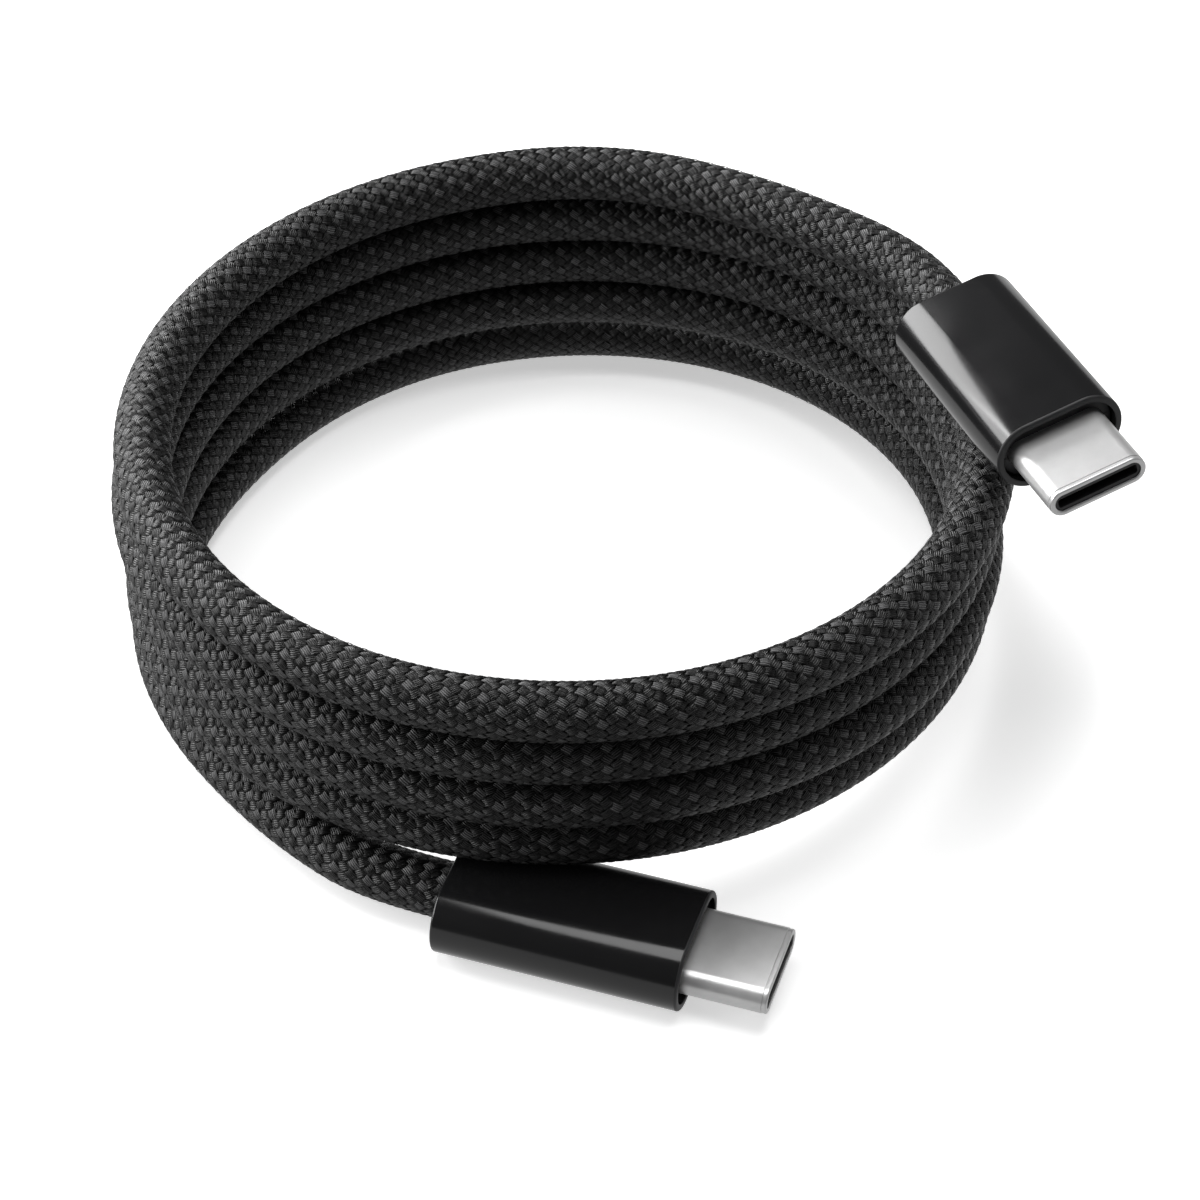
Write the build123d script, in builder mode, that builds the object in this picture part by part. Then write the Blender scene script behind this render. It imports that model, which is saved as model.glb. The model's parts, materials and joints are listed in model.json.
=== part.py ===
from build123d import *
from math import atan2, cos, degrees, hypot, pi, radians, sin, tan
import os

# Braided charging cable with a reversible plug on each end, wound into a small coil.
# Millimetres. The origin is on the coil's axis, on the surface the cable lies on.

# ---- cord ----
cord_diameter = 4.7
cord_radius = cord_diameter / 2
jacket_radius = 1.6  # inner jacket, under the braid, where it is stripped inside a plug

# ---- coil: counted in turns from plug A, which is on top, down to plug B ----
coil_radius = 34.0
turn_pitch = 4.62  # the turns settle a little into each other
coil_start, coil_end = 0.275, 4.275
lower_plug_turn = 4.68  # where the cord reaches plug B
lower_plug_rise = 3.6
turn_marks = (0, 1, 2, 3, 4, 4.7)
turn_growth = (-1.6, 0.6, -0.1, 0.0, 0.1, 0.6)  # each turn is wound a little larger or smaller
turn_shift_x = (-0.3, 0.0, 0.1, 0.3, 0.1, 2.1)
turn_shift_y = (1.8, -0.1, 0.9, 0.4, 1.5, 1.5)
tilt_x, tilt_y = 0.7, -1.2
settle_start, settle_span = 3.72, 0.5  # the lowest turn comes down off plug B onto the surface
settle_spread = 1.17
sector_angle = 15
first_sector = 9
web_width = 3.4  # the turns are one solid, joined by a web between their centres

# ---- routes of the cord between the coil and the plugs ----
lead_a_route = [
    (32.4, 9.4, 25.6),
    (30.57, 14.4, 25.06),
    (27.6, 18.9, 24.55),
    (23.2, 23.2, 24.0),
    (16.9, 28.1, 23.45),
    (9.5, 32.3, 22.9),
    (2.0, 34.3, 22.4),
    (-5.4, 33.85, 21.87),
]
lead_b_route = [
    (-5.58, 36.42, 2.35),
    (-14.4, 33.4, 2.35),
    (-22.1, 27.6, 2.35),
    (-28.2, 19.6, 2.35),
    (-32.5, 10.6, 2.35),
    (-34.2, 1.6, 2.35),
    (-33.0, -7.2, 2.35),
    (-29.5, -15.1, 2.35),
    (-24.6, -21.8, 2.35),
    (-19.5, -27.4, 2.6),
    (-14.27, -31.77, 2.95),
    (-8.1, -33.8, 2.95),
]

# ---- plug poses: heading and pitch of the nose, roll about it, in degrees ----
plug_a_pose = (-69.9, 5.8, 14.1)
plug_b_pose = (-18.2, 0.0, 0.0)

# ---- plug: distances run forward from the sleeve's rear face ----
sleeve_length, sleeve_width, sleeve_thickness = 19.8, 10.8, 5.9
sleeve_wall = 0.55
sleeve_rear_wall = 0.8
sleeve_edge = 0.2
cord_hole_radius = 2.4

mould_fit = 0.03
mould_rear, mould_front = 1.3, 18.9
mould_end_wall = 1.0
cavity_width, cavity_thickness = 8.9, 3.95

shell_width, shell_thickness = 8.25, 2.4  # the standard plug shell
shell_wall = 0.3
shell_lip, shell_lip_depth = 0.15, 0.12
shell_rear, shell_tip = 14.7, 26.45

insulator_width, insulator_thickness = 7.6, 1.75
insulator_front = 26.3
tongue_width, tongue_height, tongue_stop = 6.75, 0.84, 20.4

contact_pitch, contact_width = 0.5, 0.24
contact_low, contact_high = 0.44, 0.55
contact_bump = 0.24
contact_tail, contact_tip = 12.4, 25.3
groove_width, groove_top, groove_end = 0.34, 0.75, 25.6
upper_spots = (1, 4, 5, 6, 7, 9, 12)  # ground, power, control, two data, power, ground
lower_spots = (1, 4, 5, 9, 12)

latch_inner, latch_outer, latch_hook = 3.38, 3.53, 3.1
latch_height, latch_slot_height = 0.5, 0.6

board_rear, board_step, board_front = 8.2, 12.2, 14.2
board_width, board_neck, board_thickness = 7.8, 6.6, 0.8

can_rear, can_step, can_front = 7.8, 14.75, 16.0
can_width, can_thickness, can_wall = 8.7, 3.2, 0.15
collar_fit = 0.01

ring_rear, ring_length, ring_wall = 2.5, 1.6, 0.23
jacket_step, jacket_end = 1.2, 4.6
wire_bend = 0.8
wire_bend_start, wire_bend_end, wire_end = 5.4, 7.6, 9.6
power_wire_radius, signal_wire_radius = 0.45, 0.35


def plug_plane(rear, pose):
    """Plane of the sleeve's rear face: normal forward, x across the plug, y through its thickness."""
    heading, pitch, roll = (radians(angle) for angle in pose)
    forward = Vector(cos(heading) * cos(pitch), sin(heading) * cos(pitch), sin(pitch))
    level = Vector(-sin(heading), cos(heading), 0)
    across = level * cos(roll) + forward.cross(level) * sin(roll)
    return Plane(origin=rear, x_dir=across, z_dir=forward)


def side_plane(plug, across):
    """Plane seen from the plug's side: x runs forward and y up through the thickness."""
    return Plane(origin=plug.origin + plug.x_dir * across, x_dir=plug.z_dir, z_dir=plug.x_dir * -1)


def top_plane(plug, height):
    """Plane seen from the plug's flat face: x runs forward and y across."""
    return Plane(origin=plug.origin + plug.y_dir * height, x_dir=plug.z_dir, z_dir=plug.y_dir)


def finish(piece, name):
    piece.part.label = name
    export_step(piece.part, f"parts/{name}.step")
    return piece.part


def between_turns(turn, values):
    """Value at this turn, on straight lines between the marked turns."""
    for low, high, first, second in zip(turn_marks, turn_marks[1:], values, values[1:]):
        if turn <= high:
            return first + (second - first) * (turn - low) / (high - low)
    return values[-1]


def coil_point(turn):
    """Centre of the cord at this turn of the coil."""
    angle, plug_angle = 2 * pi * turn, 2 * pi * lower_plug_turn
    radius = coil_radius + between_turns(turn, turn_growth)
    radius += between_turns(turn, turn_shift_x) * cos(angle) + between_turns(turn, turn_shift_y) * sin(angle)
    height = lower_plug_rise + turn_pitch * (lower_plug_turn - turn)
    height += tilt_x * (cos(angle) - cos(plug_angle)) + tilt_y * (sin(angle) - sin(plug_angle))
    settled = min(max((turn - settle_start) / settle_span, 0), 1)
    drop = (height - cord_radius) * settled**2 * (3 - 2 * settled)
    return radius * cos(angle), radius * sin(angle) + settle_spread * drop, height - drop


# ---- coil ----
def make_coil():
    sectors = 360 // sector_angle
    with BuildPart() as coiled_cord:
        for sector in range(sectors):
            start = first_sector + sector * sector_angle
            middle = (start + sector_angle / 2) % 360 / 360
            turns = [middle + whole for whole in range(5) if coil_start < middle + whole < coil_end]
            centres = [(hypot(x, y), z) for x, y, z in map(coil_point, turns)]
            radial = Vector(cos(radians(start)), sin(radians(start)), 0)
            section = Plane(origin=(0, 0, 0), x_dir=radial, z_dir=radial.cross(Vector(0, 0, 1)))
            with BuildSketch(section):
                with BuildLine():
                    Polyline(*centres)
                trace(line_width=web_width)
                with Locations(*centres):
                    Circle(cord_radius)
            revolve(axis=Axis.Z, revolution_arc=sector_angle)
    return finish(coiled_cord, "coiled_cord")


# ---- the two free stretches of cord ----
def corner_radii(route):
    """The largest arc each corner allows, and the route's corners for a printed check."""
    radii = []
    for before, corner, after in zip(route, route[1:], route[2:]):
        run_in, run_out = Vector(*corner) - Vector(*before), Vector(*after) - Vector(*corner)
        half_turn = radians(run_in.get_angle(run_out)) / 2
        radii.append(0.45 * min(run_in.length, run_out.length) / tan(half_turn))
    return radii


def make_lead(name, route):
    radii = corner_radii(route)
    with BuildPart() as lead:
        with BuildLine() as path:
            FilletPolyline(*route, radius=radii)
        with BuildSketch(Plane(origin=route[0], z_dir=Vector(*route[1]) - Vector(*route[0]))):
            Circle(cord_radius)
        sweep()
    length = sum(edge.length for edge in path.edges())
    print(name, "radii", [round(radius, 1) for radius in radii], "length", round(length, 1))
    ideal_volume = pi * cord_radius**2 * length
    print(name, "volume over section times length", round(lead.part.volume / ideal_volume, 4))
    finish(lead, name)
    return length


# ---- plug ----
def make_sleeve(side, plug):
    with BuildPart() as sleeve:
        with BuildSketch(plug):
            SlotOverall(sleeve_width, sleeve_thickness)
        extrude(amount=sleeve_length)
        ends = sleeve.faces().filter_by(Plane(plug.origin, z_dir=plug.z_dir))
        fillet(ends.edges(), sleeve_edge)
        with BuildSketch(plug.offset(sleeve_rear_wall)):
            SlotOverall(sleeve_width - 2 * sleeve_wall, sleeve_thickness - 2 * sleeve_wall)
        extrude(amount=sleeve_length, mode=Mode.SUBTRACT)
        with BuildSketch(plug):
            Circle(cord_hole_radius)
        extrude(amount=sleeve_rear_wall, mode=Mode.SUBTRACT)
    return finish(sleeve, f"plug_{side}_sleeve")


def make_inner_mould(side, plug):
    gap = sleeve_wall + mould_fit
    with BuildPart() as inner_mould:
        with BuildSketch(plug.offset(mould_rear)):
            SlotOverall(sleeve_width - 2 * gap, sleeve_thickness - 2 * gap)
        extrude(amount=mould_front - mould_rear)
        with BuildSketch(plug.offset(mould_rear + mould_end_wall)):
            SlotOverall(cavity_width, cavity_thickness)
        extrude(amount=mould_front - mould_rear - 2 * mould_end_wall, mode=Mode.SUBTRACT)
        with BuildSketch(plug.offset(mould_rear)):
            Circle(jacket_radius + mould_fit)
        extrude(amount=mould_end_wall, mode=Mode.SUBTRACT)
        with BuildSketch(plug.offset(mould_front - mould_end_wall)):
            SlotOverall(shell_width + 2 * collar_fit, shell_thickness + 2 * collar_fit)
        extrude(amount=mould_end_wall, mode=Mode.SUBTRACT)
    return finish(inner_mould, f"plug_{side}_inner_mould")


def make_shell(side, plug):
    with BuildPart() as shell:
        with BuildSketch(plug.offset(shell_rear)):
            SlotOverall(shell_width, shell_thickness)
        extrude(amount=shell_tip - shell_rear)
        front = shell.faces().sort_by(Axis(plug.origin, plug.z_dir))[-1]
        fillet(front.edges(), shell_lip)
        with BuildSketch(plug.offset(shell_rear)):
            SlotOverall(shell_width - 2 * shell_wall, shell_thickness - 2 * shell_wall)
        extrude(amount=shell_tip - shell_lip_depth - shell_rear, mode=Mode.SUBTRACT)
        with BuildSketch(plug.offset(shell_tip - shell_lip_depth)):
            opening = 2 * (shell_wall + shell_lip)
            SlotOverall(shell_width - opening, shell_thickness - opening)
        extrude(amount=shell_lip_depth, mode=Mode.SUBTRACT)
    return finish(shell, f"plug_{side}_shell")


def contact_places(spots):
    return [(spot - 6.5) * contact_pitch for spot in spots]


def make_insulator(side, plug):
    groove_middle = (tongue_height / 2 + groove_top) / 2
    groove_height = groove_top - tongue_height / 2
    slot_middle = (latch_inner + insulator_width / 2) / 2
    with BuildPart() as insulator:
        with BuildSketch(plug.offset(shell_rear)):
            SlotOverall(insulator_width, insulator_thickness)
        extrude(amount=insulator_front - shell_rear)
        with BuildSketch(plug.offset(tongue_stop)):
            RectangleRounded(tongue_width, tongue_height, tongue_height / 4)
        extrude(amount=insulator_front - tongue_stop, mode=Mode.SUBTRACT)
        with BuildSketch(plug.offset(shell_rear)):
            for spots, level in ((upper_spots, groove_middle), (lower_spots, -groove_middle)):
                with Locations(*[(place, level) for place in contact_places(spots)]):
                    Rectangle(groove_width, groove_height)
        extrude(amount=groove_end - shell_rear, mode=Mode.SUBTRACT)
        with BuildSketch(plug.offset(shell_rear)):
            with Locations((slot_middle, 0), (-slot_middle, 0)):
                Rectangle(insulator_width / 2 - latch_inner + 0.2, latch_slot_height)
        extrude(amount=groove_end - shell_rear, mode=Mode.SUBTRACT)
    return finish(insulator, f"plug_{side}_insulator")


def make_contacts(side, plug, row, spots, up):
    """One row of sprung contacts: flat strips with a bump near the tip, up is 1 or -1."""
    outline = [
        (contact_tail, contact_low),
        (24.0, contact_low),
        (24.3, contact_bump),
        (24.5, contact_bump),
        (24.9, contact_low),
        (contact_tip, contact_low),
        (contact_tip, contact_high),
        (contact_tail, contact_high),
    ]
    with BuildPart() as contacts:
        for place in contact_places(spots):
            with BuildSketch(side_plane(plug, place)):
                with BuildLine():
                    Polyline(*[(along, up * level) for along, level in outline], close=True)
                make_face()
            extrude(amount=contact_width / 2, both=True)
    return finish(contacts, f"plug_{side}_{row}_contacts")


def make_latch(side, plug, hand, out):
    """Sprung side latch whose hook grips the socket's tongue, out is 1 or -1."""
    outline = [
        (contact_tail, latch_inner),
        (23.2, latch_inner),
        (23.7, latch_hook),
        (24.1, latch_hook),
        (24.6, latch_inner),
        (25.0, latch_inner),
        (25.0, latch_outer),
        (contact_tail, latch_outer),
    ]
    with BuildPart() as latch:
        with BuildSketch(top_plane(plug, 0)):
            with BuildLine():
                Polyline(*[(along, out * level) for along, level in outline], close=True)
            make_face()
        extrude(amount=latch_height / 2, both=True)
    return finish(latch, f"plug_{side}_latch_{hand}")


def make_circuit_board(side, plug):
    half, neck = board_width / 2, board_neck / 2
    with BuildPart() as circuit_board:
        with BuildSketch(top_plane(plug, 0)):
            with BuildLine():
                Polyline(
                    (board_rear, -half),
                    (board_step, -half),
                    (board_step, -neck),
                    (board_front, -neck),
                    (board_front, neck),
                    (board_step, neck),
                    (board_step, half),
                    (board_rear, half),
                    close=True,
                )
            make_face()
        extrude(amount=board_thickness / 2, both=True)
    return finish(circuit_board, f"plug_{side}_circuit_board")


def make_chip(name, plug, along, across, size, face):
    """Small component soldered on the board's upper (1) or lower (-1) face."""
    long, wide, high = size
    with BuildPart() as chip:
        with BuildSketch(top_plane(plug, face * board_thickness / 2)):
            with Locations((along, across)):
                Rectangle(long, wide)
        extrude(amount=face * high)
    return finish(chip, name)


def make_shield_can(side, plug):
    with BuildPart() as shield_can:
        with BuildSketch(plug.offset(can_rear)):
            SlotOverall(can_width, can_thickness)
        extrude(amount=can_step - can_rear)
        with BuildSketch(plug.offset(can_step)):
            SlotOverall(shell_width + 2 * can_wall, shell_thickness + 2 * can_wall)
        extrude(amount=can_front - can_step)
        with BuildSketch(plug.offset(can_rear)):
            SlotOverall(can_width - 2 * can_wall, can_thickness - 2 * can_wall)
        extrude(amount=can_step - can_wall - can_rear, mode=Mode.SUBTRACT)
        with BuildSketch(plug.offset(can_step - can_wall)):
            SlotOverall(shell_width + 2 * collar_fit, shell_thickness + 2 * collar_fit)
        extrude(amount=can_front - can_step + can_wall, mode=Mode.SUBTRACT)
    return finish(shield_can, f"plug_{side}_shield_can")


def make_crimp_ring(side, plug):
    with BuildPart() as crimp_ring:
        with BuildSketch(plug.offset(ring_rear)):
            Circle(jacket_radius + mould_fit + ring_wall)
            Circle(jacket_radius + mould_fit, mode=Mode.SUBTRACT)
        extrude(amount=ring_length)
    return finish(crimp_ring, f"plug_{side}_crimp_ring")


def make_cord_end(side, plug):
    """The cord inside the plug: braided up to the step, then bare inner jacket."""
    with BuildPart() as cord_end:
        with BuildSketch(plug):
            Circle(cord_radius)
        extrude(amount=jacket_step)
        with BuildSketch(plug.offset(jacket_step)):
            Circle(jacket_radius)
        extrude(amount=jacket_end - jacket_step)
    return finish(cord_end, f"plug_{side}_cord_end")


def make_wires(name, plug, radius, wires):
    """Wires from the jacket's end to pads on the board, each from one (x, y) to another."""
    with BuildPart() as bundle:
        for leave, arrive in wires:
            stations = (
                (leave, jacket_end),
                (leave, wire_bend_start),
                (arrive, wire_bend_end),
                (arrive, wire_end),
            )
            route = [plug.from_local_coords((x, y, along)) for (x, y), along in stations]
            with BuildLine():
                FilletPolyline(*route, radius=wire_bend)
            with BuildSketch(Plane(origin=route[0], z_dir=plug.z_dir)):
                Circle(radius)
            sweep()
    return finish(bundle, name)


def make_plug(side, rear, pose):
    plug = plug_plane(rear, pose)
    make_sleeve(side, plug)
    make_inner_mould(side, plug)
    make_shell(side, plug)
    make_insulator(side, plug)
    make_contacts(side, plug, "upper", upper_spots, 1)
    make_contacts(side, plug, "lower", lower_spots, -1)
    make_latch(side, plug, "left", -1)
    make_latch(side, plug, "right", 1)
    make_circuit_board(side, plug)
    make_chip(f"plug_{side}_capacitor", plug, 11.2, -1.4, (1.0, 0.5, 0.5), 1)
    if side == "a":
        make_chip("plug_a_marker_chip", plug, 11.0, 0.4, (2.0, 2.0, 0.6), -1)
    make_shield_can(side, plug)
    make_crimp_ring(side, plug)
    make_cord_end(side, plug)
    make_wires(f"plug_{side}_power_wire", plug, power_wire_radius, [((-0.75, 0.55), (-2.8, 0.86))])
    make_wires(f"plug_{side}_ground_wire", plug, power_wire_radius, [((0.75, -0.55), (2.8, -0.86))])
    make_wires(f"plug_{side}_control_wire", plug, signal_wire_radius, [((-0.75, -0.6), (-1.4, -0.76))])
    data_wires = [((0.3, 0.95), (0.5, 0.76)), ((1.0, 0.3), (1.6, 0.76))]
    make_wires(f"plug_{side}_data_wires", plug, signal_wire_radius, data_wires)


os.makedirs("parts", exist_ok=True)
make_plug("a", lead_a_route[0], plug_a_pose)
make_plug("b", lead_b_route[-1], plug_b_pose)
lead_length = make_lead("lead_a", lead_a_route) + make_lead("lead_b", lead_b_route)
make_coil()

steps = 400
samples = [coil_point(coil_start + (coil_end - coil_start) * step / steps) for step in range(steps + 1)]
coil_length = sum((Vector(*b) - Vector(*a)).length for a, b in zip(samples, samples[1:]))
print("cord length outside the plugs", round(coil_length + lead_length, 1))
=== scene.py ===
import bpy
import bmesh
import json
import numpy as np
from math import atan, cos, pi, radians, sin
from mathutils import Matrix, Vector


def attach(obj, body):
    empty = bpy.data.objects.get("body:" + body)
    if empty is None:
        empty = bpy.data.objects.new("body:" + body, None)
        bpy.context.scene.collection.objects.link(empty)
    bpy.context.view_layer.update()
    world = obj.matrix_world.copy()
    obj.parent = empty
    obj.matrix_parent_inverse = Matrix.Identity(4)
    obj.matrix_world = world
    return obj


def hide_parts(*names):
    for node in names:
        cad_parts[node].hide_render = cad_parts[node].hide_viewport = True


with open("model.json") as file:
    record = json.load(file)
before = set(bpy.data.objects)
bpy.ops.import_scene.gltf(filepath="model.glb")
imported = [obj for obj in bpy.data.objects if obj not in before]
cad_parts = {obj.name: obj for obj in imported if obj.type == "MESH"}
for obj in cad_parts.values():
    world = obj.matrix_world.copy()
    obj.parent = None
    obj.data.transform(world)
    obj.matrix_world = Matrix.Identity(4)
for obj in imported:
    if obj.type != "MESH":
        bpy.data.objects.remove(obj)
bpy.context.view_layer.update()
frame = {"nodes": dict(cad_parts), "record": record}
record = frame["record"]
mm = 0.001

# the room: camera, world, floor and lights

camera = {
    "aim": (3.31 * mm, 1.34 * mm, 1.47 * mm),
    "elevation": 42.306,
    "distance": 304.6 * mm,
    "lens": 107.6,
    "sensor": 36,
}


def placeCamera():
    data = bpy.data.cameras.new("camera")
    data.lens, data.sensor_width = camera["lens"], camera["sensor"]
    data.clip_start, data.clip_end = 0.01, 10
    item = bpy.data.objects.new("camera", data)
    tilt = radians(camera["elevation"])
    item.location = Vector(camera["aim"]) + camera["distance"] * Vector((0, -cos(tilt), sin(tilt)))
    item.rotation_euler = (pi / 2 - tilt, 0, 0)
    bpy.context.collection.objects.link(item)
    bpy.context.scene.camera = item


placeCamera()
print("camera placed")


# material helpers


def startMaterial(name, colour, roughness, metallic=0.0, ior=1.5):
    material = bpy.data.materials.new(name)
    material.use_nodes = True
    material.diffuse_color = (*colour, 1)
    shader = material.node_tree.nodes["Principled BSDF"]
    shader.inputs["Base Color"].default_value = (*colour, 1)
    shader.inputs["Roughness"].default_value = roughness
    shader.inputs["Metallic"].default_value = metallic
    shader.inputs["IOR"].default_value = ior
    return material, shader


def addNode(material, kind, **values):
    node = material.node_tree.nodes.new(kind)
    for name, value in values.items():
        if name in node.inputs:
            node.inputs[name].default_value = value
        else:
            setattr(node, name, value)
    return node


def join(material, *pairs):
    for source, target in pairs:
        material.node_tree.links.new(source, target)


def addNoise(material, scale, detail=2.0, where="Object", stretch=(1, 1, 1)):
    place = addNode(material, "ShaderNodeTexCoord")
    mapping = addNode(material, "ShaderNodeMapping")
    mapping.inputs["Scale"].default_value = stretch
    noise = addNode(material, "ShaderNodeTexNoise", Scale=scale, Detail=detail)
    join(
        material,
        (place.outputs[where], mapping.inputs["Vector"]),
        (mapping.outputs["Vector"], noise.inputs["Vector"]),
    )
    return noise.outputs["Fac"]


def spread(material, value, low, high, fromLow=0.3, fromHigh=0.7):
    node = addNode(material, "ShaderNodeMapRange")
    for name, number in (("From Min", fromLow), ("From Max", fromHigh), ("To Min", low), ("To Max", high)):
        node.inputs[name].default_value = number
    join(material, (value, node.inputs["Value"]))
    return node.outputs["Result"]


def tint(material, shader, value, dark, light):
    ramp = addNode(material, "ShaderNodeValToRGB")
    ramp.color_ramp.elements[0].color = (*dark, 1)
    ramp.color_ramp.elements[0].position = 0.3
    ramp.color_ramp.elements[1].color = (*light, 1)
    ramp.color_ramp.elements[1].position = 0.7
    join(material, (value, ramp.inputs["Fac"]), (ramp.outputs["Color"], shader.inputs["Base Color"]))


def emboss(material, shader, value, depth, strength=1.0, below=None):
    bump = addNode(material, "ShaderNodeBump")
    bump.inputs["Distance"].default_value = depth
    bump.inputs["Strength"].default_value = strength
    join(material, (value, bump.inputs["Height"]))
    if below is not None:
        join(material, (below.outputs["Normal"], bump.inputs["Normal"]))
    join(material, (bump.outputs["Normal"], shader.inputs["Normal"]))
    return bump


# the room's materials and lights

room = {
    "floorColour": (0.93, 0.93, 0.93),
    "floorGlow": 0.5,
    "bounceColour": (0.25, 0.25, 0.25),  # what the floor throws back on the cable
    "floorMirrored": 0.75,  # how bright the floor is in the plugs' gloss
    "skyLight": 0.08,
    "lights": [  # name, azimuth and height in degrees, distance, width, height, radiance
        ("leftBackPanel", 129, 20, 0.5, 0.38, 0.28, 7.4),
        ("leftPanel", 176, 22, 0.5, 0.48, 0.26, 7.0),
        ("rightFill", 5, 25, 0.6, 0.30, 0.30, 0.8),
        ("topPanel", 90, 81, 0.5, 0.36, 0.42, 4.2),
    ],
}


def makeWorld():
    world = bpy.data.worlds.new("studio")
    bpy.context.scene.world = world
    world.use_nodes = True
    nodes, links = world.node_tree.nodes, world.node_tree.links
    seen, light = nodes["Background"], nodes.new("ShaderNodeBackground")
    seen.inputs["Color"].default_value = (1, 1, 1, 1)
    light.inputs["Color"].default_value = (1, 1, 1, 1)
    light.inputs["Strength"].default_value = room["skyLight"]
    path, mix = nodes.new("ShaderNodeLightPath"), nodes.new("ShaderNodeMixShader")
    links.new(path.outputs["Is Camera Ray"], mix.inputs["Fac"])
    links.new(light.outputs["Background"], mix.inputs[1])
    links.new(seen.outputs["Background"], mix.inputs[2])
    links.new(mix.outputs["Shader"], nodes["World Output"].inputs["Surface"])


def makeFloor():
    material, shader = startMaterial("paleFloor", room["floorColour"], 0.9)
    shader.inputs["Emission Color"].default_value = (1, 1, 1, 1)
    shader.inputs["Emission Strength"].default_value = room["floorGlow"]
    path = addNode(material, "ShaderNodeLightPath")
    bounce = addNode(material, "ShaderNodeBsdfDiffuse", Color=(*room["bounceColour"], 1))
    mirrored = addNode(material, "ShaderNodeEmission", Strength=room["floorMirrored"])
    unseen, seen = addNode(material, "ShaderNodeMixShader"), addNode(material, "ShaderNodeMixShader")
    join(
        material,
        (path.outputs["Is Glossy Ray"], unseen.inputs["Fac"]),
        (bounce.outputs["BSDF"], unseen.inputs[1]),
        (mirrored.outputs["Emission"], unseen.inputs[2]),
        (path.outputs["Is Camera Ray"], seen.inputs["Fac"]),
        (unseen.outputs["Shader"], seen.inputs[1]),
        (shader.outputs["BSDF"], seen.inputs[2]),
        (seen.outputs["Shader"], material.node_tree.nodes["Material Output"].inputs["Surface"]),
    )
    bm = bmesh.new()
    bmesh.ops.create_grid(bm, x_segments=1, y_segments=1, size=1.5)
    bmesh.ops.translate(bm, verts=bm.verts, vec=(0, 0, -0.02 * mm))
    mesh = bpy.data.meshes.new("floor")
    bm.to_mesh(mesh)
    bm.free()
    mesh.materials.append(material)
    floor = bpy.data.objects.new("floor", mesh)
    bpy.context.collection.objects.link(floor)


def placeLights():
    for name, azimuth, height, distance, width, tall, radiance in room["lights"]:
        data = bpy.data.lights.new(name, "AREA")
        data.shape = "RECTANGLE"
        data.size, data.size_y = width, tall
        data.energy = radiance * pi * width * tall
        item = bpy.data.objects.new(name, data)
        turn, rise = radians(azimuth), radians(height)
        away = Vector((cos(turn) * cos(rise), sin(turn) * cos(rise), sin(rise)))
        item.location = away * distance
        item.rotation_euler = away.to_track_quat("Z", "Y").to_euler()
        bpy.context.collection.objects.link(item)


makeWorld()
makeFloor()
placeLights()
bpy.context.scene.view_settings.view_transform = "Standard"
print("room ready")

# the cord: its route in millimetres, from the upper plug through the coil to the lower plug

cord = {
    "diameter": 4.7,
    "length": 1.0015,
    "coreRadius": 2.0,
    "pointsPerTurn": 24,
    "leadA": [
        (32.4, 9.4, 25.6),
        (30.57, 14.4, 25.06),
        (27.6, 18.9, 24.55),
        (23.2, 23.2, 24.0),
        (16.9, 28.1, 23.45),
        (9.5, 32.3, 22.9),
        (2.0, 34.3, 22.4),
    ],
    "leadB": [
        (-14.4, 33.4, 2.35),
        (-22.1, 27.6, 2.35),
        (-28.2, 19.6, 2.35),
        (-32.5, 10.6, 2.35),
        (-34.2, 1.6, 2.35),
        (-33.0, -7.2, 2.35),
        (-29.5, -15.1, 2.35),
        (-24.6, -21.8, 2.35),
        (-19.5, -27.4, 2.6),
        (-14.27, -31.77, 2.95),
        (-8.1, -33.8, 2.95),
    ],
}
coil = {
    "start": 0.275,
    "end": 4.275,
    "radius": 34.0,
    "pitch": 4.62,
    "plugTurn": 4.68,
    "plugRise": 3.6,
    "marks": (0, 1, 2, 3, 4, 4.7),
    "growth": (-1.6, 0.6, -0.1, 0.0, 0.1, 0.6),  # each turn is wound a little larger or smaller
    "shiftX": (-0.3, 0.0, 0.1, 0.3, 0.1, 2.1),
    "shiftY": (1.8, -0.1, 0.9, 0.4, 1.5, 1.5),
    "tilt": (0.7, -1.2),
    "settle": (3.72, 0.5, 1.17),  # where the last turn comes down, over how much, and how far it spreads
    "roundOut": 1.0086,  # the curve runs inside its points
}


def coilPoint(turn):
    angle, plugAngle = 2 * pi * turn, 2 * pi * coil["plugTurn"]
    growth = np.interp(turn, coil["marks"], coil["growth"])
    shiftX = np.interp(turn, coil["marks"], coil["shiftX"])
    shiftY = np.interp(turn, coil["marks"], coil["shiftY"])
    radius = coil["radius"] + growth + shiftX * cos(angle) + shiftY * sin(angle)
    height = coil["plugRise"] + coil["pitch"] * (coil["plugTurn"] - turn)
    tiltX, tiltY = coil["tilt"]
    height += tiltX * (cos(angle) - cos(plugAngle)) + tiltY * (sin(angle) - sin(plugAngle))
    start, span, outward = coil["settle"]
    settled = min(max((turn - start) / span, 0), 1)
    drop = (height - cord["diameter"] / 2) * settled**2 * (3 - 2 * settled)
    radius *= coil["roundOut"]
    return radius * cos(angle), radius * sin(angle) + outward * drop, height - drop


def makeCordLine():
    count = round((coil["end"] - coil["start"]) * cord["pointsPerTurn"])
    turns = [coil["start"] + step / cord["pointsPerTurn"] for step in range(count + 1)]
    points = cord["leadA"] + [coilPoint(turn) for turn in turns] + cord["leadB"]
    curve = bpy.data.curves.new("cordCore", "CURVE")
    curve.dimensions = "3D"
    curve.resolution_u = 8
    spline = curve.splines.new("NURBS")
    spline.points.add(len(points) - 1)
    for spot, point in zip(spline.points, points):
        spot.co = (*(Vector(point) * mm), 1)
    spline.order_u = 3
    spline.use_endpoint_u = True
    core = bpy.data.objects.new("cordCore", curve)
    bpy.context.collection.objects.link(core)
    return core


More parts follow.
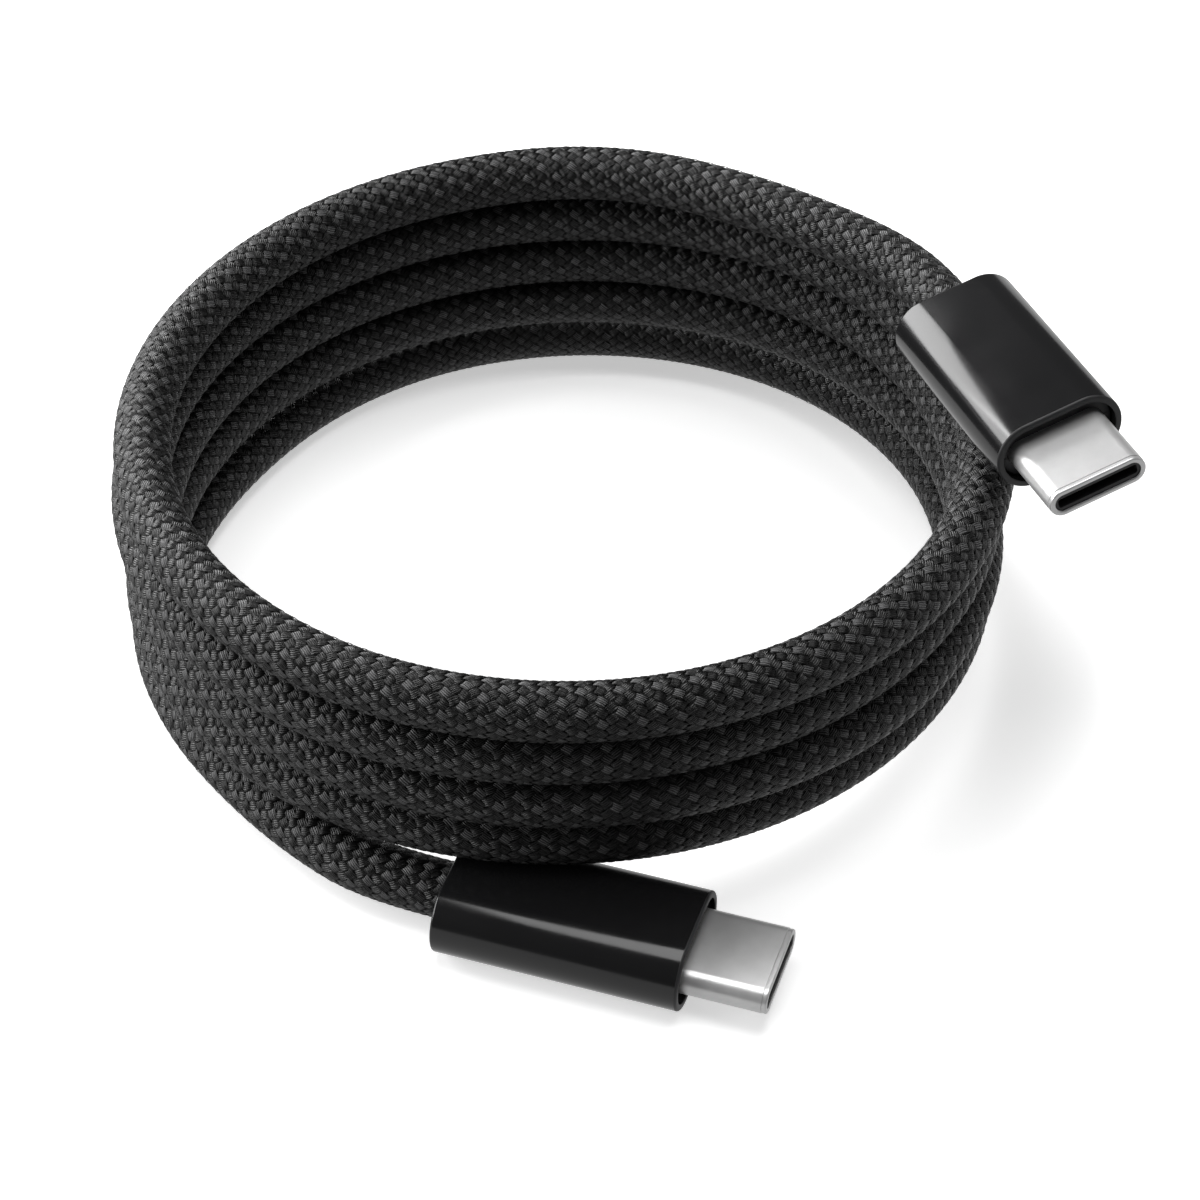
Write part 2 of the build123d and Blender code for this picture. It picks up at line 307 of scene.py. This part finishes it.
class Line:  # the cord's centre line, with a frame that doesn't twist

    def __init__(self, core):
        mesh = bpy.data.meshes.new_from_object(core)
        self.points = np.array([vertex.co for vertex in mesh.vertices])
        bpy.data.meshes.remove(mesh)
        steps = np.diff(self.points, axis=0)
        lengths = np.linalg.norm(steps, axis=1)
        self.along = np.concatenate([[0], np.cumsum(lengths)])
        self.ahead = np.gradient(self.points, self.along, axis=0)
        self.ahead /= np.linalg.norm(self.ahead, axis=1)[:, None]
        side = np.cross(self.ahead[0], (0, 0, 1))
        sides = []
        for ahead in self.ahead:
            side = side - ahead * side.dot(ahead)
            side /= np.linalg.norm(side)
            sides.append(side)
        self.side = np.array(sides)
        self.length = self.along[-1]

    def place(self, along, angle, radius):
        inside = np.clip(along, 0, self.length)
        centre, ahead, side = (
            np.stack([np.interp(inside, self.along, table[:, axis]) for axis in range(3)], axis=1)
            for table in (self.points, self.ahead, self.side)
        )
        across = np.cross(ahead, side)
        past = (along - inside)[:, None]
        return centre + ahead * past + radius[:, None] * (
            np.cos(angle)[:, None] * side + np.sin(angle)[:, None] * across
        )


# the braid: yarns that wind both ways round the core, each over one and under one

braid = {
    "yarnsEachWay": 16,
    "pitch": 22.4,
    "radius": 2.25,
    "lift": 0.085,
    "dome": 0.035,
    "yarnWidth": 0.82,
    "stepsPerCrossing": 4,
    "intoPlug": 0.5,
    # the dark ends of these yarn ramps also carry the painted shade at the yarns' edges
    "black": (0.001, 0.001, 0.001),
    "blackLight": (0.007, 0.007, 0.007),
    "grey": (0.012, 0.012, 0.012),
    "greyLight": (0.13, 0.13, 0.132),
    "roughness": 0.42,
    "shine": 0.34,
    "glint": 0.8,  # how far the threads stretch a highlight sideways
}


def yarnMaterial(name, dark, light):
    material, shader = startMaterial(name, light, braid["roughness"], ior=1.53)
    place = addNode(material, "ShaderNodeUVMap")
    mapping = addNode(material, "ShaderNodeMapping")
    mapping.inputs["Scale"].default_value = (1500, 1, 1)
    drift = addNode(material, "ShaderNodeTexNoise", Scale=1.0, Detail=2.0)
    bend = addNode(material, "ShaderNodeVectorMath", operation="MULTIPLY_ADD")
    bend.inputs[1].default_value = (0.0, 0.25, 0.0)
    threads = addNode(material, "ShaderNodeTexWave", Scale=1.6, Distortion=0.8, Detail=1.0)
    threads.bands_direction = "Y"
    thin = addNode(material, "ShaderNodeMapping")
    thin.inputs["Scale"].default_value = (1, 9, 1)
    streaks = addNode(material, "ShaderNodeTexNoise", Scale=1.0, Detail=2.0)
    shade = addNode(material, "ShaderNodeMix", data_type="FLOAT")
    shade.inputs["Factor"].default_value = 0.45
    split = addNode(material, "ShaderNodeSeparateXYZ")
    middle = addNode(material, "ShaderNodeMath", operation="SUBTRACT")
    middle.inputs[1].default_value = 0.5
    away = addNode(material, "ShaderNodeMath", operation="ABSOLUTE")
    gapShadedTone = addNode(material, "ShaderNodeMath", operation="MULTIPLY")
    shine = addNode(material, "ShaderNodeMath", operation="MULTIPLY")
    join(
        material,
        (place.outputs["UV"], mapping.inputs["Vector"]),
        (mapping.outputs["Vector"], drift.inputs["Vector"]),
        (drift.outputs["Color"], bend.inputs[0]),
        (mapping.outputs["Vector"], bend.inputs[2]),
        (bend.outputs["Vector"], threads.inputs["Vector"]),
        (bend.outputs["Vector"], thin.inputs["Vector"]),
        (thin.outputs["Vector"], streaks.inputs["Vector"]),
        (streaks.outputs["Fac"], shade.inputs["A"]),
        (threads.outputs["Fac"], shade.inputs["B"]),
        (place.outputs["UV"], split.inputs["Vector"]),
        (split.outputs["Y"], middle.inputs[0]),
        (middle.outputs["Value"], away.inputs[0]),
    )
    # painted shade: base colour and specular level fall off towards each yarn's edges, standing in for the
    # shade in the gaps between crossing yarns
    edge = spread(material, away.outputs["Value"], 1.0, 0.2, 0.3, 0.5)
    gleam = spread(material, streaks.outputs["Fac"], 0.3 * braid["shine"], 1.7 * braid["shine"])
    join(
        material,
        (shade.outputs["Result"], gapShadedTone.inputs[0]),
        (edge, gapShadedTone.inputs[1]),
        (gleam, shine.inputs[0]),
        (edge, shine.inputs[1]),
        (shine.outputs["Value"], shader.inputs["Specular IOR Level"]),
    )
    tint(material, shader, gapShadedTone.outputs["Value"], dark, light)
    emboss(material, shader, threads.outputs["Fac"], 0.05 * mm, 0.9)
    tangent = addNode(material, "ShaderNodeTangent", direction_type="UV_MAP", uv_map="yarn")
    join(material, (tangent.outputs["Tangent"], shader.inputs["Tangent"]))
    shader.inputs["Anisotropic"].default_value = braid["glint"]
    shader.inputs["Anisotropic Rotation"].default_value = 0.25
    return material


def coreMaterial():
    material, shader = startMaterial("coreBlack", (0.004, 0.004, 0.004), 0.8)
    tint(material, shader, addNoise(material, 600), (0.003, 0.003, 0.003), (0.006, 0.006, 0.006))
    return material


def weaveYarns(name, line, yarns, way, material):  # a long grid for each yarn
    extra = braid["intoPlug"] * mm
    crossing = braid["pitch"] * mm / (2 * braid["yarnsEachWay"])
    steps = round((line.length + 2 * extra) / crossing * braid["stepsPerCrossing"])
    bm = bmesh.new()
    bm.loops.layers.uv.new("yarn")
    for index in range(len(yarns)):
        shift = Matrix.Translation((0, 2 * index, 0))
        bmesh.ops.create_grid(bm, x_segments=steps, y_segments=2, size=0.5, matrix=shift, calc_uvs=True)
    mesh = bpy.data.meshes.new(name)
    bm.to_mesh(mesh)
    bm.free()
    flat = np.empty(len(mesh.vertices) * 3)
    mesh.vertices.foreach_get("co", flat)
    flat = flat.reshape(-1, 3)
    index = np.round(flat[:, 1] / 2).astype(int)
    across = flat[:, 1] - 2 * index
    along = (flat[:, 0] + 0.5) * (line.length + 2 * extra) - extra
    yarn = np.array(yarns)[index]
    radius = braid["radius"] * mm
    slope = atan(2 * pi * radius / (braid["pitch"] * mm))
    angle = 2 * pi * (yarn / braid["yarnsEachWay"] + way * along / (braid["pitch"] * mm))
    wave = np.cos(pi * along / crossing)
    rise = way * braid["lift"] * mm * np.sign(wave) * np.abs(wave) ** 0.5
    height = radius + rise - braid["dome"] * mm * (2 * across) ** 2
    width = braid["yarnWidth"] * mm
    placed = line.place(
        along - way * across * width * sin(slope),
        angle + across * width * cos(slope) / radius,
        height,
    )
    mesh.vertices.foreach_set("co", placed.ravel())
    mesh.materials.append(material)
    mesh.polygons.foreach_set("use_smooth", [True] * len(mesh.polygons))
    mesh.update()
    piece = bpy.data.objects.new(name, mesh)
    bpy.context.collection.objects.link(piece)
    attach(piece, "cable")
    return piece


def makeBraid(core):
    line = Line(core)
    black = yarnMaterial("blackYarn", braid["black"], braid["blackLight"])
    grey = yarnMaterial("greyYarn", braid["grey"], braid["greyLight"])
    even = list(range(0, braid["yarnsEachWay"], 2))
    odd = list(range(1, braid["yarnsEachWay"], 2))
    pieces = [
        weaveYarns("braidGreyYarns", line, even, 1, grey),
        weaveYarns("braidBlackYarns", line, odd, 1, black),
        weaveYarns("braidCrossYarnsA", line, even, -1, black),
        weaveYarns("braidCrossYarnsB", line, odd, -1, black),
    ]
    core.data.bevel_depth = cord["coreRadius"] * mm
    core.data.bevel_resolution = 3
    core.data.materials.append(coreMaterial())
    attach(core, "cable")
    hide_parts("coiled_cord", "lead_a", "lead_b")
    return line, pieces


core = makeCordLine()
line, braidPieces = makeBraid(core)
print("cord", round(line.length, 4), "m")

# plugs: built along Z from the sleeve's rear face, X across and Y through the thickness

plug = {
    "tip": 26.45,
    "ringPoints": 128,
    "sleeve": {
        "width": 10.8,
        "thickness": 5.9,
        "length": 19.8,
        "wall": 0.55,
        "rearWall": 0.8,
        "edge": 0.22,
        "hole": 4.8,
    },
    "mould": {
        "width": 9.64,
        "thickness": 4.74,
        "rear": 1.3,
        "front": 18.9,
        "endWall": 1.0,
        "edge": 0.12,
        "cavity": (8.9, 3.95),
        "slot": (8.27, 2.42),
        "hole": 3.26,
    },
    "shell": {
        "width": 8.25,
        "thickness": 2.4,
        "rear": 14.7,
        "wall": 0.3,
        "lip": 0.15,
        "lipDepth": 0.12,
        "crease": 0.42,
        "creaseDepth": 0.05,
    },
}


def plugMatrix(side):
    mounts = {mount["name"]: mount for mount in record["mounts"]}
    joints = {joint["name"]: joint for joint in record["behaviour"]["joints"]}
    tip, row = mounts[f"plug_{side}_tip"], joints[f"plug_{side}_upper_row_flex"]
    forward = Vector(tip["axis"]).normalized()
    across = -Vector(row["axis"]).normalized()
    matrix = Matrix((across, forward.cross(across), forward)).transposed().to_4x4()
    matrix.translation = Vector(tip["pos_m"]) - forward * plug["tip"] * mm
    return matrix


def roundedEdge(width, thickness, place, radius, outward, steps=5):  # outward is 1 in front, -1 behind
    rings = []
    for step in range(steps + 1):
        angle = pi / 2 * step / steps
        inset, drop = radius * (1 - cos(angle)), radius * (1 - sin(angle))
        if outward < 0:
            inset, drop = radius * (1 - sin(angle)), radius * (1 - cos(angle))
            rings.append((width - 2 * inset, thickness - 2 * inset, place + drop))
        else:
            rings.append((width - 2 * inset, thickness - 2 * inset, place - drop))
    return rings


def loftPiece(name, rings, matrix, material, node, front=None):
    bm = bmesh.new()
    loops = []
    count = plug["ringPoints"]
    for width, thickness, height in rings:
        turned = Matrix.Rotation(pi / count, 4, "Z")
        half = thickness / 2 * mm
        made = bmesh.ops.create_circle(bm, cap_ends=False, segments=count, radius=half, matrix=turned)
        for vertex in made["verts"]:
            vertex.co.x += (width - thickness) / 2 * mm * (1 if vertex.co.x > 0 else -1)
            vertex.co.z = height * mm
        loops.append({edge for vertex in made["verts"] for edge in vertex.link_edges})
    for first, second in zip(loops, loops[1:] + loops[:1]):
        bmesh.ops.bridge_loops(bm, edges=list(first | second))
    bmesh.ops.recalc_face_normals(bm, faces=bm.faces)
    for face in bm.faces:
        face.material_index = int(front is not None and face.calc_center_median().z > front[1] * mm)
    bmesh.ops.transform(bm, matrix=matrix, verts=bm.verts)
    mesh = bpy.data.meshes.new(name)
    bm.to_mesh(mesh)
    bm.free()
    mesh.materials.append(material)
    if front is not None:
        mesh.materials.append(front[0])
    mesh.polygons.foreach_set("use_smooth", [True] * len(mesh.polygons))
    mesh.set_sharp_from_angle(angle=radians(35))
    piece = bpy.data.objects.new(name, mesh)
    bpy.context.collection.objects.link(piece)
    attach(piece, "cable")
    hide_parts(node)
    return piece


def sleeveRings():
    size = plug["sleeve"]
    width, thickness, length = size["width"], size["thickness"], size["length"]
    edge, hole = size["edge"], size["hole"]
    inner = (width - 2 * size["wall"], thickness - 2 * size["wall"])
    return (
        [(hole, hole, size["rearWall"]), (hole, hole, 0.1), (hole + 0.2, hole + 0.2, 0)]
        + roundedEdge(width, thickness, 0, edge, -1)
        + roundedEdge(width, thickness, length, edge, 1)
        + [(inner[0] + 0.12, inner[1] + 0.12, length), (*inner, length - 0.06), (*inner, size["rearWall"])]
    )


def mouldRings():
    size = plug["mould"]
    hole = (size["hole"], size["hole"])
    slot, cavity = size["slot"], size["cavity"]
    inside = size["rear"] + size["endWall"], size["front"] - size["endWall"]
    return (
        [(*hole, inside[0]), (*hole, size["rear"]), (size["width"], size["thickness"], size["rear"])]
        + roundedEdge(size["width"], size["thickness"], size["front"], size["edge"], 1, 3)
        + [(*slot, size["front"]), (*slot, inside[1]), (*cavity, inside[1]), (*cavity, inside[0])]
    )


def shellRings():
    size = plug["shell"]
    width, thickness, wall, lip = (size[key] for key in ("width", "thickness", "wall", "lip"))
    inner = (width - 2 * wall, thickness - 2 * wall)
    opening = (width - 2 * (wall + lip), thickness - 2 * (wall + lip))
    lipBack = plug["tip"] - size["lipDepth"]
    crease, low = plug["tip"] - size["crease"], size["creaseDepth"]
    neck = (width - 2 * low, thickness - 2 * low)
    return (
        [(width, thickness, size["rear"]), (width, thickness, crease - 0.03)]
        + [(*neck, crease), (*neck, crease + 0.05)]
        + roundedEdge(width - low, thickness - low, plug["tip"], lip, 1)
        + [(opening[0] + 0.1, opening[1] + 0.1, plug["tip"] - 0.02), (*opening, plug["tip"] - 0.06)]
        + [(*opening, lipBack), (*inner, lipBack - 0.05), (*inner, size["rear"])]
    )


# plug materials

finish = {
    "gloss": ((0.009, 0.009, 0.0095), 0.16),
    "matt": ((0.012, 0.012, 0.013), 0.55),
    "nickel": ((0.68, 0.68, 0.68), 0.34),
    "gold": ((0.85, 0.62, 0.28), 0.25),
    "steel": ((0.56, 0.56, 0.55), 0.35),
}


def glossPlastic():
    colour, rough = finish["gloss"]
    material, shader = startMaterial("glossPlastic", colour, rough)
    haze = spread(material, addNoise(material, 160, 5.0), rough - 0.03, rough + 0.05)
    join(material, (haze, shader.inputs["Roughness"]))
    emboss(material, shader, addNoise(material, 1800, 2.0), 0.002 * mm, 0.5)
    return material


def mattPlastic():
    colour, rough = finish["matt"]
    material, shader = startMaterial("mattPlastic", colour, rough)
    tint(material, shader, addNoise(material, 1200, 3.0), colour, tuple(channel * 1.5 for channel in colour))
    emboss(material, shader, addNoise(material, 9000, 2.0), 0.01 * mm, 0.6)
    return material


def metal(name, kind, grain, depth, metallic=1.0):
    colour, rough = finish[kind]
    material, shader = startMaterial(name, colour, rough, metallic=metallic)
    tint(material, shader, addNoise(material, 700, 4.0), tuple(channel * 0.93 for channel in colour), colour)
    haze = spread(material, addNoise(material, grain, 3.0), rough - 0.05, rough + 0.06)
    join(material, (haze, shader.inputs["Roughness"]))
    emboss(material, shader, addNoise(material, grain, 3.0), depth * mm, 0.6)
    return material


def simplePlastic(name, colour, rough, scale=800):
    material, shader = startMaterial(name, colour, rough)
    tint(material, shader, addNoise(material, scale, 3.0), tuple(channel * 0.8 for channel in colour), colour)
    emboss(material, shader, addNoise(material, scale * 4, 2.0), 0.005 * mm, 0.5)
    return material


def paint(node, material):
    item = frame["nodes"][node]
    item.data.materials.clear()
    item.data.materials.append(material)


gloss, matt = glossPlastic(), mattPlastic()
nickel = metal("satinNickel", "nickel", 6000, 0.006, 0.6)  # blasted, so it also scatters light
gold = metal("goldPlate", "gold", 3000, 0.002)
steel = metal("sheetSteel", "steel", 3000, 0.003)
hidden = {
    "insulator": matt,
    "upper_contacts": gold,
    "lower_contacts": gold,
    "latch_left": steel,
    "latch_right": steel,
    "shield_can": steel,
    "crimp_ring": steel,
    "circuit_board": simplePlastic("solderMask", (0.02, 0.13, 0.05), 0.35),
    "capacitor": simplePlastic("ceramic", (0.38, 0.26, 0.15), 0.5),
    "marker_chip": simplePlastic("chipBlack", (0.03, 0.03, 0.03), 0.6),
    "cord_end": simplePlastic("jacketBlack", (0.02, 0.02, 0.02), 0.6),
    "power_wire": simplePlastic("redInsulation", (0.5, 0.02, 0.02), 0.4),
    "ground_wire": simplePlastic("blackInsulation", (0.02, 0.02, 0.02), 0.4),
    "control_wire": simplePlastic("blueInsulation", (0.02, 0.08, 0.4), 0.4),
    "data_wires": simplePlastic("whiteInsulation", (0.7, 0.7, 0.68), 0.4),
}
rim = (matt, plug["sleeve"]["length"] - plug["sleeve"]["edge"])
for side in "ab":
    matrix, name, node = plugMatrix(side), f"plug{side.upper()}", f"plug_{side}"
    loftPiece(f"{name}Sleeve", sleeveRings(), matrix, gloss, f"{node}_sleeve", rim)
    loftPiece(f"{name}Mould", mouldRings(), matrix, matt, f"{node}_inner_mould")
    loftPiece(f"{name}Shell", shellRings(), matrix, nickel, f"{node}_shell")
    for kind, material in hidden.items():
        if f"plug_{side}_{kind}" in frame["nodes"]:
            paint(f"plug_{side}_{kind}", material)
print("plugs made")
